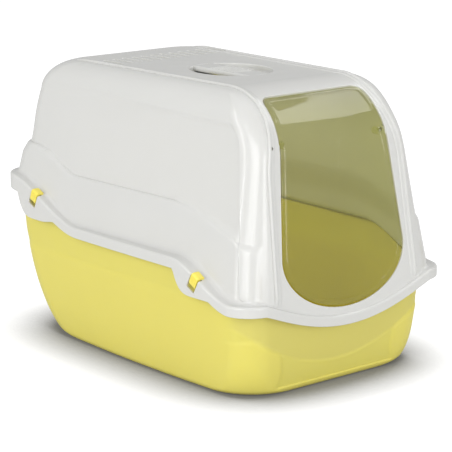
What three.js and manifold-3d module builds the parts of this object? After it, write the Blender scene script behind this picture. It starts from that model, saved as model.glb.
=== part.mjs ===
// Hooded cat litter box: a bath-shaped tray, a one-piece hood with a swing door, four rim latches
// and a carbon filter cassette under the roof vents.
// Millimetres, +Z up, the door faces -Y, origin on the floor under the centre of the footprint.
import * as THREE from 'three';
import { ParametricGeometry } from 'three/addons/geometries/ParametricGeometry.js';
import { mergeVertices } from 'three/addons/utils/BufferGeometryUtils.js';
import Module from 'manifold-3d';

const wasm = await Module();
wasm.setup();

// ---------------------------------------------------------------- driving dimensions
const LENGTH = 570; // overall, along Y
const WIDTH = 390; // overall, along X
const ROOF_Z = 407; // flat of the roof
const WALL = 3; // wall thickness of every moulding
const GAP = 0.4; // clearance between pieces that rest on each other
const RIM_GAP = 2.2; // clearance between the hood's shelf and the tray's rim

// rim: the wavy parting line between hood and tray
const RIM_SIDE_Z = 183; // shelf height along the middle of each side
const RIM_REAR_Z = 237; // shelf height at the rear
const RIM_FRONT_Z = 139; // shelf height at the front corners
const RIM_DIP_Z = 103; // shelf height at the middle of the front, under the door
const RIM_CORNER_R = 45;
const SIDE_BULGE = 4; // the long sides bow outwards by this much
const SKIRT_H = 15; // height of the turned-down edge of the hood
const SKIRT_REAR_MORE = 9; // it is this much taller round the rear

// hood: roof, front arc, leaning front, sides and rear
const ARC_R = 100; // large radius between roof and front
const ARC_Y = -150; // where the roof turns into that arc
const FRONT_LEAN = THREE.MathUtils.degToRad(8.5);
const SIDE_LEAN = THREE.MathUtils.degToRad(9.5);
const REAR_LEAN = THREE.MathUtils.degToRad(10);
const HOOD_FOOT_HALF = 172; // half-width of the wall where it meets the side shelf
const HOOD_REAR_Y = 275; // rear wall where it meets the rear shelf
const SHOULDER_R = 44; // round between side panel and roof
const ROOF_HALF = 110; // half-width of the flat roof
const ROOF_REAR_Y = 198; // rear edge of the flat roof
const HOOD_FRONT_R = 38; // plan radii of the front and rear corners
const HOOD_REAR_R = 42;
const HOOD_REAR_LOW_R = 30; // the same below the wave line
const HOOD_BOW = 2; // the side panels bow outwards by this much
const HOOD_TAPER = 9; // the sides stand this much further out at the rear and in at the front
const STEP_PROUD = 4; // the hood is this much wider below its wave line
const WAVE_Z = 249; // height of that line along the middle of each side
const WAVE_RISE = 32; // towards the rear
const WAVE_FALL = 35; // towards the front
const RIDGE_HALF = 138; // half-distance between the ridges where they meet the front shelf
const RIDGE_DRAW = 0.04; // they close in by this share of the height
const RIDGE_ROOF_IN = 19; // and by this much more where the front turns into the roof
const RIDGE_H = 3; // raised band that frames roof and front
const RIDGE_W = 6;

// door and its pivot
const DOOR_TOP_S = 48.5; // distance along the roof-to-front profile, from the start of the arc
const DOOR_SHOULDER_S = 278; // where the rounded bottom of the door begins
const DOOR_BOTTOM_S = 351;
const DOOR_TOP_HALF = 88;
const DOOR_MAX_HALF = 110;
const DOOR_TOP_R = 13;
const DOOR_T = 2.6;
const DOOR_GAP = 2.4;
const PIVOT = { y: -235, z: 338 };
const PIN_R = 2.4;
const PIN_PLAY = 0.6; // radial clearance of the pin in its socket
const DOOR_EAR = { x0: 84, x1: 88, r: 5 }; // ear behind each side of the door that carries the pin
const PIN_END = 104;
const SOCKET = { x0: 97, x1: 108, r: 6 }; // boss behind the front band that holds the pin
const FRONT_HOLE = { x: -112, r: 2.2 }; // small hole in the front band beside the left pin

// latches: hinge pin of each one on the tray rim
const LATCH_Y = [-184, 189];
const LATCH_W = 14;
const LATCH_HINGE_IN = 6.6; // hinge axis, inwards of the skirt's outer face
const LATCH_HINGE_DOWN = 15; // hinge axis, below the shelf
const LOBE_Z = [136, 177]; // lowest edge of the hanging lobes over the front and rear latches
const LOBE_HALF = 47;
const BARREL_R = 2.6; // hinge barrel of the latch
const LATCH_PIN_R = 1.4;
const LATCH_PIN_OUT = 3.4; // the pin stands out of the barrel by this much at each end
const LATCH_HOLE_R = 1.8;
const WINDOW_PLAY = 1.4; // side clearance of the latch in its window
const LATCH_EAR = { gap: 0.5, t: 4, x0: -4.6, x1: 2.6, z0: -3.6, z1: 8 }; // in the latch's own frame

// tray
const TRAY_HALF = 168; // half-width of the foot
const TRAY_FRONT_Y = -254;
const TRAY_REAR_Y = 262;
const FOOT_FRONT_R = 44; // plan radius of the front corners at the floor
const FOOT_REAR_R = 92; // plan radius of the rear corners at the floor
const FOOT_ROUND = 9; // small round where the walls meet the floor
const FRONT_BALL = { height: 50, more: 42 }; // the front corners round off more towards the floor
const REAR_ROUND = { height: 110, inset: 52 }; // the rear wall sweeps in towards the floor
const LIP_IN = 8; // the tray's rim ends this far inside the skirt's outer face
const LIP_T = 3;
const LIP_H = 8;

// roof vents, filter cassette and handle
const VENTS = 13;
const VENT_PITCH = 17.4;
const VENT_W = 5;
const VENT_L = 46;
const VENT_Y = 133;
const FILTER = { halfX: 98, y0: 99, y1: 167, top: ROOF_Z - WALL - GAP };
const GRILLE_T = 2;
const GRILLE_SLOTS = 6;
const GRILLE_SLOT_PITCH = 31;
const GRILLE_SLOT_HALF = 9;
const PAD_T = 6;
const HANDLE = { y: -30, halfX: 56, halfY: 64, depth: 10, barHalf: 20, barT: 8 };
const FINGER = { halfX: 53, halfY: 27 }; // opening under the bar, for the fingers

// ---------------------------------------------------------------- materials
const plastic = (color, roughness, extra = {}) =>
  new THREE.MeshStandardMaterial({ color, roughness, metalness: 0, ...extra });
const WHITE = () => plastic(0xe6e6e2, 0.3);
const YELLOW = () => plastic(0xe4d873, 0.4);
const CLIP_YELLOW = () => plastic(0xf0df50, 0.35);
const TINTED = () => plastic(0x8f8c46, 0.12, { transparent: true, opacity: 0.6 });
const CARBON = () => plastic(0x2b2b2b, 0.95);

// ---------------------------------------------------------------- solids
// Closed geometry to solid; a solid whose faces point in is turned inside out.
function solid(geometry) {
  const bare = geometry.clone();
  bare.deleteAttribute('normal');
  bare.deleteAttribute('uv');
  const merged = mergeVertices(bare, 1e-4);
  const index = merged.index.array;
  const triangles = [];
  for (let i = 0; i < index.length; i += 3) {
    const [a, b, c] = [index[i], index[i + 1], index[i + 2]];
    if (a !== b && b !== c && c !== a) triangles.push(a, b, c);
  }
  const build = (triVerts) => new wasm.Manifold(new wasm.Mesh({
    numProp: 3,
    vertProperties: new Float32Array(merged.attributes.position.array),
    triVerts: new Uint32Array(triVerts),
  }));
  const made = build(triangles);
  return made.volume() > 0 ? made : build(triangles.reverse());
}

function box(x0, x1, y0, y1, z0, z1) {
  const shape = new THREE.BoxGeometry(x1 - x0, y1 - y0, z1 - z0);
  return solid(shape.translate((x0 + x1) / 2, (y0 + y1) / 2, (z0 + z1) / 2));
}

// Range along X of a feature on the given side.
const span = (side, { x0, x1 }) => (side > 0 ? [x0, x1] : [-x1, -x0]);

// Cylinder along X, Y or Z between two places on that axis.
function rod(axis, radius, from, to, at, sides = 16) {
  const shape = new THREE.CylinderGeometry(radius, radius, to - from, sides);
  if (axis === 'x') shape.rotateZ(Math.PI / 2);
  if (axis === 'z') shape.rotateX(Math.PI / 2);
  const middle = (from + to) / 2;
  const place = { x: [middle, at[0], at[1]], y: [at[0], middle, at[1]], z: [at[0], at[1], middle] }[axis];
  return solid(shape.translate(...place));
}

// Upright elliptical prism.
function oval(x, y, halfX, halfY, z0, z1, sides = 32) {
  const shape = new THREE.CylinderGeometry(1, 1, z1 - z0, sides);
  shape.rotateX(Math.PI / 2).scale(halfX, halfY, 1);
  return solid(shape.translate(x, y, (z0 + z1) / 2));
}

// Closed loft: ring(level, u) for whole levels 0..levels-1; the end rings are closed by a point.
function loft(levels, around, ring, bottom, top) {
  const place = (u, v, target) => {
    const level = Math.round(v * (levels + 1)) - 1;
    if (level < 0) target.set(...bottom);
    else if (level >= levels) target.set(...top);
    else target.set(...ring(level, u % 1));
  };
  return solid(new ParametricGeometry(place, around, levels + 1));
}

const parts = new THREE.Group();
function add(name, body, material) {
  const { vertProperties, triVerts } = body.getMesh();
  const geometry = new THREE.BufferGeometry();
  geometry.setAttribute('position', new THREE.BufferAttribute(new Float32Array(vertProperties), 3));
  geometry.setIndex(new THREE.BufferAttribute(new Uint32Array(triVerts), 1));
  geometry.computeVertexNormals();
  const mesh = new THREE.Mesh(geometry, material);
  mesh.name = name;
  parts.add(mesh);
}

// ---------------------------------------------------------------- plan outline
// Stations run counter-clockwise from the front end of the right-hand side.
const SIDE_STOPS = [0, 0.03, 0.06, 0.09, 0.13, 0.17, 0.205, 0.24, 0.35, 0.48, 0.6, 0.7, 0.77,
  0.8, 0.84, 0.88, 0.92, 0.95, 0.975, 1];
const even = (steps) => Array.from({ length: steps + 1 }, (_, i) => i / steps);
const STRETCHES = [
  { kind: 'side', sign: 1, stops: SIDE_STOPS },
  { kind: 'corner', sx: 1, sy: 1, stops: even(6) },
  { kind: 'end', sy: 1, stops: even(6) },
  { kind: 'corner', sx: -1, sy: 1, stops: even(6) },
  { kind: 'side', sign: -1, stops: SIDE_STOPS.map((s) => 1 - s).reverse() },
  { kind: 'corner', sx: -1, sy: -1, stops: even(6) },
  { kind: 'end', sy: -1, stops: even(14) },
  { kind: 'corner', sx: 1, sy: -1, stops: even(6) },
];
const AROUND = STRETCHES.reduce((sum, stretch) => sum + stretch.stops.length - 1, 0);

function station(u) {
  let left = u * AROUND;
  for (const stretch of STRETCHES) {
    const steps = stretch.stops.length - 1;
    if (left < steps - 1e-6) {
      const i = Math.floor(left + 1e-6);
      return { ...stretch, t: THREE.MathUtils.lerp(stretch.stops[i], stretch.stops[i + 1], left - i) };
    }
    left -= steps;
  }
  return { ...STRETCHES[0], t: 0 };
}

// Point of a rounded rectangle; rx and ry are its corner radii along X and Y at each end.
function outline(shape, u) {
  const [x, y] = squareOutline(shape, u);
  return [x * (1 + (shape.taper ?? 0) * y / (LENGTH / 2) / shape.half), y];
}

function squareOutline(shape, u) {
  const { half, front, rear, frontRx, frontRy, rearRx, rearRy, bulge = 0 } = shape;
  const s = station(u);
  const low = front + frontRy;
  const high = rear - rearRy;
  if (s.kind === 'side') {
    const t = s.sign > 0 ? s.t : 1 - s.t;
    const bow = bulge * 4 * t * (1 - t);
    return [s.sign * (half + bow), THREE.MathUtils.lerp(low, high, t)];
  }
  const [rx, ry] = s.sy > 0 ? [rearRx, rearRy] : [frontRx, frontRy];
  const end = s.sy > 0 ? rear : front;
  if (s.kind === 'end') return [s.sy * THREE.MathUtils.lerp(half - rx, rx - half, s.t), end];
  const turn = (s.sx * s.sy > 0 ? s.t : 1 - s.t) * Math.PI / 2;
  return [
    s.sx * (half - rx + rx * Math.cos(turn)),
    end - s.sy * ry * (1 - Math.sin(turn)),
  ];
}

// ---------------------------------------------------------------- rim line
const smooth = (a, b, value) => THREE.MathUtils.smoothstep(value, a, b);
const skirtShape = (inset) => ({
  half: WIDTH / 2 - SIDE_BULGE - inset,
  front: -LENGTH / 2 + inset,
  rear: LENGTH / 2 - inset,
  frontRx: RIM_CORNER_R - inset,
  frontRy: RIM_CORNER_R - inset,
  rearRx: RIM_CORNER_R - inset,
  rearRy: RIM_CORNER_R - inset,
  bulge: SIDE_BULGE,
});

// Height of the shelf along a side, from front to rear.
const sideRim = (y) => RIM_SIDE_Z + (RIM_REAR_Z - RIM_SIDE_Z) * smooth(85, 262, y)
  - (RIM_SIDE_Z - RIM_FRONT_Z) * smooth(130, 252, -y);

// Height of the shelf anywhere in plan: along the front it dips under the door.
function rimHeight(x, y) {
  const reach = (WIDTH / 2 - RIM_CORNER_R) * 1.02;
  const dip = Math.max(0, 1 - (x / reach) ** 2) ** 1.15 * smooth(205, 262, -y);
  return sideRim(y) - (RIM_FRONT_Z - RIM_DIP_Z) * dip;
}

// Point at a station of an outline that may change with height, drop below the shelf.
function onRim(shapeAt, drop, u) {
  let z = RIM_SIDE_Z;
  let point;
  for (let pass = 0; pass < 4; pass++) {
    point = outline(shapeAt(z), u);
    z = rimHeight(...point) - drop;
  }
  return [...point, z];
}

// Lower edge of the skirt, with a hanging lobe over each latch.
function skirtEdge(inset, u) {
  const [x, y, z] = onRim(() => skirtShape(inset), SKIRT_H, u);
  let low = z - SKIRT_REAR_MORE * smooth(150, 262, y);
  LATCH_Y.forEach((centre, i) => {
    const across = Math.abs(y - centre) / LOBE_HALF;
    if (across < 1) low -= Math.max(0, low - LOBE_Z[i]) * (1 - across ** 4);
  });
  return [x, y, low];
}

// ---------------------------------------------------------------- hood surface
const ARC_Z = ROOF_Z - ARC_R;
const TANGENT_Z = ARC_Z + ARC_R * Math.sin(FRONT_LEAN);
const TANGENT_Y = ARC_Y - ARC_R * Math.cos(FRONT_LEAN);
const SHOULDER_Z = ROOF_Z - SHOULDER_R;

// Wave line on the hood's sides, as a height at a place along Y.
const waveZ = (y) => WAVE_Z + WAVE_RISE * smooth(115, 225, y) - WAVE_FALL * smooth(100, 262, -y);

// Plan section of the hood at height z, drawn in by inset.
function hoodShape(z, inset) {
  const panel = HOOD_FOOT_HALF - (z - RIM_SIDE_Z) * Math.tan(SIDE_LEAN);
  const panelTop = HOOD_FOOT_HALF - (SHOULDER_Z - RIM_SIDE_Z) * Math.tan(SIDE_LEAN);
  const up = THREE.MathUtils.clamp((z - SHOULDER_Z) / SHOULDER_R, 0, 1);
  const round = Math.sqrt(1 - up * up);
  const half = z < SHOULDER_Z ? panel : ROOF_HALF + (panelTop - ROOF_HALF) * round;
  const front = z < TANGENT_Z
    ? TANGENT_Y - (TANGENT_Z - z) * Math.tan(FRONT_LEAN)
    : ARC_Y - Math.sqrt(Math.max(0, ARC_R ** 2 - (z - ARC_Z) ** 2));
  const rearPanel = (height) => HOOD_REAR_Y - (height - RIM_REAR_Z) * Math.tan(REAR_LEAN);
  const rear = z < SHOULDER_Z ? rearPanel(z) : ROOF_REAR_Y + (rearPanel(SHOULDER_Z) - ROOF_REAR_Y) * round;
  const ridge = RIDGE_HALF - (z - RIM_FRONT_Z) * RIDGE_DRAW - RIDGE_ROOF_IN * smooth(300, ROOF_Z, z);
  const frontRx = Math.max(3, half - ridge);
  const frontRy = THREE.MathUtils.lerp(HOOD_FRONT_R, 14, smooth(370, ROOF_Z, z));
  const rearR = THREE.MathUtils.lerp(HOOD_REAR_LOW_R, HOOD_REAR_R, smooth(265, 285, z))
    - 8 * smooth(285, 340, z) + 10 * smooth(350, ROOF_Z, z);
  return {
    half: half - inset,
    front: front + inset,
    rear: rear - inset,
    frontRx: Math.max(1, frontRx - inset),
    frontRy: Math.max(1, frontRy - inset),
    rearRx: Math.max(1, rearR - inset),
    rearRy: Math.max(1, rearR - inset),
    bulge: HOOD_BOW,
    taper: HOOD_TAPER,
  };
}

// Point of the hood's wall at a station and height; proud moves it outwards.
const hoodPoint = (u, z, inset, proud = 0) => [...outline(hoodShape(z, inset - proud), u), z];

// Heights of the wall levels above the shelf: to the wave line, then to the arc, then up the arc.
// The step under the wave line dies away at the ridges, so the front between them is one plane.
const ARC_LEVELS = [0.42, 0.62, 0.78, 0.9, 0.97, 1];
function wallLevel(level, u, inset) {
  const [x, y] = hoodPoint(u, RIM_SIDE_Z, 0);
  const wave = waveZ(y);
  const proud = y < 0 ? STEP_PROUD * smooth(RIDGE_HALF - 2, RIDGE_HALF + 12, Math.abs(x)) : STEP_PROUD;
  if (level === 0) return onRim((z) => hoodShape(z, inset - proud), inset > 0 ? WALL : 0, u);
  if (level === 1) return hoodPoint(u, wave - 4, inset, proud);
  if (level === 2) return hoodPoint(u, wave + 4, inset);
  if (level === 3) return hoodPoint(u, (wave + TANGENT_Z) / 2, inset);
  const rise = level === 4 ? 0 : Math.sin(ARC_LEVELS[level - 5] * Math.PI / 2);
  const z = TANGENT_Z + (ROOF_Z - TANGENT_Z) * rise;
  const [px, py] = hoodPoint(u, z, inset);
  return [px, py, z - (inset > 0 ? WALL * rise : 0)];
}
const WALL_LEVELS = 5 + ARC_LEVELS.length;

function makeHood() {
  const centre = [0, 20];
  const outer = loft(WALL_LEVELS + 2, AROUND, (level, u) => {
    if (level === 0) return skirtEdge(0, u);
    if (level === 1) return onRim(() => skirtShape(0), 0, u);
    return wallLevel(level - 2, u, 0);
  }, [...centre, 60], [...centre, ROOF_Z]);
  const inner = loft(WALL_LEVELS + 2, AROUND, (level, u) => {
    if (level === 1) return onRim(() => skirtShape(WALL), WALL, u);
    if (level > 1) return wallLevel(level - 2, u, WALL);
    const [x, y, z] = skirtEdge(WALL, u);
    return [x, y, z - 8];
  }, [...centre, 40], [...centre, ROOF_Z - WALL]);
  let hood = outer.subtract(inner);
  for (const side of [-1, 1]) hood = hood.add(ridgeBand(side));

  // locating ribs of the filter cassette
  for (const side of [-1, 1]) {
    const x = side * (FILTER.halfX + 2.5);
    hood = hood.add(box(x - 1.5, x + 1.5, FILTER.y0 + 8, FILTER.y1 - 8, ROOF_Z - 16, ROOF_Z - 1));
  }
  // handle: an oval pocket in the roof, a bar across it at roof level, finger holes on both sides
  const h = HANDLE;
  const floor = ROOF_Z - h.depth;
  hood = hood.add(oval(0, h.y, h.halfX + WALL, h.halfY + WALL, floor - WALL, ROOF_Z - 1));
  hood = hood.subtract(oval(0, h.y, h.halfX, h.halfY, floor, ROOF_Z + 5));
  hood = hood.subtract(oval(0, h.y, FINGER.halfX, FINGER.halfY, floor - 8, floor + 2));
  hood = hood.add(box(-h.barHalf, h.barHalf, h.y - h.halfY - 1, h.y + h.halfY + 1, ROOF_Z - h.barT, ROOF_Z));

  // door opening, vents, latch windows
  hood = hood.subtract(doorSolid(DOOR_GAP, 14, -14));
  for (let i = 0; i < VENTS; i++) {
    const x = (i - (VENTS - 1) / 2) * VENT_PITCH;
    hood = hood.subtract(box(x - VENT_W / 2, x + VENT_W / 2, VENT_Y - VENT_L / 2, VENT_Y + VENT_L / 2,
      ROOF_Z - WALL - 2, ROOF_Z + 4));
  }
  for (const latch of latches) hood = hood.subtract(latch.place(latchWindow()));

  // door pivot: a socket boss behind each side of the front band, and the hole beside the left one
  for (const side of [-1, 1]) {
    const [x0, x1] = span(side, SOCKET);
    hood = hood.add(rod('x', SOCKET.r, x0, x1, [PIVOT.y, PIVOT.z]));
    hood = hood.add(box(x0, x1, PIVOT.y - 8.6, PIVOT.y, PIVOT.z - 5, PIVOT.z + 2));
    hood = hood.subtract(rod('x', PIN_R + PIN_PLAY, x0 - 2, x1 + 2, [PIVOT.y, PIVOT.z]));
  }
  hood = hood.subtract(
    rod('y', FRONT_HOLE.r, PIVOT.y - 27, PIVOT.y - 1.5, [FRONT_HOLE.x, PIVOT.z], 12));
  return hood;
}

// ---------------------------------------------------------------- door
// Profile of roof, arc and front by arc length s from the start of the arc; off moves it outwards.
function profile(s, off) {
  if (s < 0) return [ARC_Y - s, ROOF_Z + off];
  const turn = Math.min(s / ARC_R, Math.PI / 2 - FRONT_LEAN);
  const rest = s - turn * ARC_R;
  const r = ARC_R + off;
  return [
    ARC_Y - r * Math.sin(turn) - rest * Math.sin(FRONT_LEAN),
    ARC_Z + r * Math.cos(turn) - rest * Math.cos(FRONT_LEAN),
  ];
}

// Raised band along one side of the roof, round the arc and down the front.
const RIDGE_STOPS = [-340, -250, -150, -60, 0, 22, 44, 66, 88, 110, 128, 142, 190, 240, 290, 330];
function ridgeBand(side) {
  const ring = (level, u) => {
    const s = RIDGE_STOPS[level];
    const corner = Math.round(u * 4) % 4;
    const [y, z] = profile(s, corner < 2 ? RIDGE_H : -WALL / 2);
    const shape = hoodShape(profile(s, 0)[1], 0);
    const edge = (shape.half - shape.frontRx) * (1 + HOOD_TAPER * y / (LENGTH / 2) / shape.half);
    return [side * (edge - (corner === 0 || corner === 3 ? 0 : RIDGE_W)), y, z];
  };
  const last = RIDGE_STOPS.length - 1;
  const cap = (level) => [0, 1, 2, 3].map((i) => ring(level, i / 4))
    .reduce((sum, point) => sum.map((value, axis) => value + point[axis] / 4), [0, 0, 0]);
  return loft(last + 1, 4, ring, cap(0), cap(last));
}

// Half-width of the door at s.
function doorHalf(s) {
  const t = (s - DOOR_TOP_S) / (DOOR_SHOULDER_S - DOOR_TOP_S);
  let half = THREE.MathUtils.lerp(DOOR_TOP_HALF, DOOR_MAX_HALF, Math.min(t, 1));
  const down = (s - DOOR_SHOULDER_S) / (DOOR_BOTTOM_S - DOOR_SHOULDER_S);
  if (down > 0) half *= Math.sqrt(Math.max(0, 1 - down * down));
  const corner = 1 - (s - DOOR_TOP_S) / DOOR_TOP_R;
  if (corner > 0) half -= DOOR_TOP_R * (1 - Math.sqrt(1 - corner * corner));
  return half;
}

const DOOR_ROWS = [0, 0.08, 0.3, 0.7, 1].map((t) => DOOR_TOP_S + t * DOOR_TOP_R)
  .concat([74, 88, 102, 116, 130, 142.2, 210, DOOR_SHOULDER_S])
  .concat([0.2, 0.38, 0.54, 0.68, 0.8, 0.9, 0.965, 0.995].map(
    (t) => THREE.MathUtils.lerp(DOOR_SHOULDER_S, DOOR_BOTTOM_S, t)));

// Curved plate of the door's outline grown by grow, from out above the surface to below it.
function doorSolid(grow, out, below) {
  const last = DOOR_ROWS.length - 1;
  const ring = (level, u) => {
    const s = DOOR_ROWS[level];
    const toEnd = level === 0 ? -grow : level === last ? grow : 0;
    const half = Math.max(doorHalf(s), 8) + grow;
    const corner = Math.round(u * 4) % 4;
    const [y, z] = profile(s + toEnd, corner < 2 ? out : below);
    return [corner === 0 || corner === 3 ? half : -half, y, z];
  };
  const cap = (s, off) => [0, ...profile(s, off)];
  const middle = (out + below) / 2;
  return loft(last + 1, 4, ring, cap(DOOR_ROWS[0] - grow, middle), cap(DOOR_ROWS[last] + grow, middle));
}

function makeDoor() {
  let door = doorSolid(0, 0, -DOOR_T);
  for (const side of [-1, 1]) {
    const ear = span(side, DOOR_EAR);
    const pin = span(side, { x0: DOOR_EAR.x0, x1: PIN_END });
    door = door.add(rod('x', DOOR_EAR.r, ...ear, [PIVOT.y, PIVOT.z]));
    door = door.add(box(...ear, PIVOT.y - 8.8, PIVOT.y, PIVOT.z - DOOR_EAR.r, PIVOT.z + 1));
    door = door.add(rod('x', PIN_R, ...pin, [PIVOT.y, PIVOT.z]));
  }
  return door;
}

// ---------------------------------------------------------------- latches
// A latch is drawn on the right-hand side with its hinge axis at the origin, along Y.
const SHELF_UP = LATCH_HINGE_DOWN; // shelf top above the hinge axis
const SKIRT_OUT = LATCH_HINGE_IN; // skirt face outside the hinge axis
function makeLatch() {
  const half = LATCH_W / 2;
  const plate = [
    [0.4, -1.6], [4.6, -0.8], [7, 2.4], [7.6, SHELF_UP - 1], [6, SHELF_UP + 2.6], [3, SHELF_UP + 3.4],
    [-4.8, SHELF_UP + 3], [-4.8, SHELF_UP + 0.5], [1.6, SHELF_UP + 0.5], [3.4, SHELF_UP - 2], [3, 1.8],
  ];
  const shape = new THREE.Shape(plate.map(([x, z]) => new THREE.Vector2(x, z)));
  const hook = new THREE.ExtrudeGeometry(shape, { depth: LATCH_W, bevelEnabled: false });
  hook.rotateX(Math.PI / 2).translate(0, half, 0);
  return solid(hook)
    .add(rod('y', BARREL_R, -half, half, [0, 0]))
    .add(rod('y', LATCH_PIN_R, -half - LATCH_PIN_OUT, half + LATCH_PIN_OUT, [0, 0], 10));
}

function latchWindow() {
  const half = LATCH_W / 2 + WINDOW_PLAY;
  return box(-1, 14, -half, half, -6.5, SHELF_UP + 8);
}

// Ears on the tray rim that carry the latch's pin.
function latchEars() {
  const { gap, t, x0, x1, z0, z1 } = LATCH_EAR;
  const inner = LATCH_W / 2 + gap;
  return box(x0, x1, -inner - t, inner + t, z0, z1)
    .subtract(box(x0 - 1, x1 + 1, -inner, inner, z0 - 1, z1 + 1))
    .subtract(rod('y', LATCH_HOLE_R, -inner - t - 1, inner + t + 1, [0, 0], 12));
}

// Place of each latch: hinge axis beside the skirt at its own height.
function sideFace(y) {
  const reach = LENGTH / 2 - RIM_CORNER_R;
  const t = (y + reach) / (2 * reach);
  return WIDTH / 2 - SIDE_BULGE + SIDE_BULGE * 4 * t * (1 - t);
}
const latches = [];
for (const [side, sideName] of [[-1, 'left'], [1, 'right']]) {
  LATCH_Y.forEach((y, i) => {
    const slope = Math.atan((sideRim(y + 1) - sideRim(y - 1)) / 2);
    const x = sideFace(y) - SKIRT_OUT;
    const hingeY = y + SHELF_UP * Math.sin(slope);
    const hingeZ = sideRim(y) - SHELF_UP * Math.cos(slope);
    // The left-hand latches are the right-hand one turned half round about Z; all tilt with the rim.
    const place = (body) => body.rotate([0, 0, side > 0 ? 0 : 180])
      .rotate([THREE.MathUtils.radToDeg(slope), 0, 0]).translate([side * x, hingeY, hingeZ]);
    latches.push({ name: `latch_${['front', 'rear'][i]}_${sideName}`, place });
  });
}

// ---------------------------------------------------------------- tray
function trayShape(z, inset) {
  const round = (height) => {
    const down = THREE.MathUtils.clamp(1 - z / height, 0, 1);
    return 1 - Math.sqrt(1 - down * down);
  };
  const foot = FOOT_ROUND * round(FOOT_ROUND) + inset;
  const cornerR = (r) => THREE.MathUtils.lerp(r, RIM_CORNER_R, Math.min(1, z / 150) ** 0.7) - inset;
  const ball = FRONT_BALL.more * round(FRONT_BALL.height);
  return {
    half: TRAY_HALF - SIDE_BULGE + z * 0.075 - foot,
    front: TRAY_FRONT_Y - z * 0.13 + foot,
    rear: TRAY_REAR_Y + z * 0.05 - REAR_ROUND.inset * round(REAR_ROUND.height) - foot,
    frontRx: cornerR(FOOT_FRONT_R) + ball, frontRy: cornerR(FOOT_FRONT_R) + ball,
    rearRx: cornerR(FOOT_REAR_R), rearRy: cornerR(FOOT_REAR_R),
    bulge: SIDE_BULGE,
  };
}

function makeTray() {
  const top = WALL + RIM_GAP;
  const wall = (z, inset, u) => [...outline(trayShape(z, inset), u), z];
  const wallTop = (inset, drop, u) => onRim((z) => trayShape(z, inset), drop, u);
  const lip = (inset, drop, u) => onRim(() => skirtShape(inset), drop, u);
  const rings = [
    (u) => wall(0, 0, u),
    (u) => wall(3, 0, u),
    (u) => wall(FOOT_ROUND, 0, u),
    (u) => wall(24, 0, u),
    (u) => wall(46, 0, u),
    (u) => wall(78, 0, u),
    (u) => wallTop(0, top + LIP_T, u),
    (u) => lip(LIP_IN + LIP_T, top + LIP_T, u),
    (u) => lip(LIP_IN + LIP_T, top + LIP_H, u),
    (u) => lip(LIP_IN, top + LIP_H, u),
    (u) => lip(LIP_IN, top, u),
    (u) => wallTop(WALL, top, u),
    (u) => wall(78, WALL, u),
    (u) => wall(46, WALL, u),
    (u) => wall(24, WALL, u),
    (u) => wall(FOOT_ROUND, WALL, u),
    (u) => [...outline(trayShape(4, WALL + 3), u), WALL],
  ];
  let tray = loft(rings.length, AROUND, (level, u) => rings[level](u), [0, 0, 0], [0, 0, WALL]);
  for (const latch of latches) tray = tray.add(latch.place(latchEars()));
  return tray;
}

// ---------------------------------------------------------------- filter cassette
function slotted(x0, x1, y0, y1, z0, z1) {
  let plate = box(x0, x1, y0, y1, z0, z1);
  for (let i = 0; i < GRILLE_SLOTS; i++) {
    const x = (i - (GRILLE_SLOTS - 1) / 2) * GRILLE_SLOT_PITCH;
    plate = plate.subtract(
      box(x - GRILLE_SLOT_HALF, x + GRILLE_SLOT_HALF, y0 + 12, y1 - 12, z0 - 1, z1 + 1));
  }
  return plate;
}

function makeFilter() {
  const { halfX, y0, y1, top } = FILTER;
  const padTop = top - GRILLE_T - GAP;
  const padLow = padTop - PAD_T;
  const trayLow = padLow - GAP - 2;
  add('filter_grille', slotted(-halfX, halfX, y0, y1, top - GRILLE_T, top), CLIP_YELLOW());
  add('carbon_filter', box(-halfX + 3, halfX - 3, y0 + 3, y1 - 3, padLow, padTop), CARBON());
  const shell = slotted(-halfX, halfX, y0, y1, trayLow, trayLow + 2)
    .add(box(-halfX, halfX, y0, y1, trayLow, top - GRILLE_T - GAP)
      .subtract(box(-halfX + 2, halfX - 2, y0 + 2, y1 - 2, trayLow - 1, top)));
  add('filter_tray', shell, CLIP_YELLOW());
}

// ---------------------------------------------------------------- assembly
add('base_tray', makeTray(), YELLOW());
add('hood_shell', makeHood(), WHITE());
add('swing_door', makeDoor(), TINTED());
for (const latch of latches) add(latch.name, latch.place(makeLatch()), CLIP_YELLOW());
makeFilter();

export default parts;
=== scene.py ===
"""Looks of the hooded cat litter box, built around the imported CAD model.

Every visible piece is a fine mesh made here in millimetres and scaled to metres at the end. The
shells are closed lofts of the same plan sections as the CAD solids, with the relief that mouldings
have: rolled rims, ridges, panel recesses, wave steps, and chamfered openings.
"""
import math

import bpy
import numpy as np
from mathutils import Matrix, Vector


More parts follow.
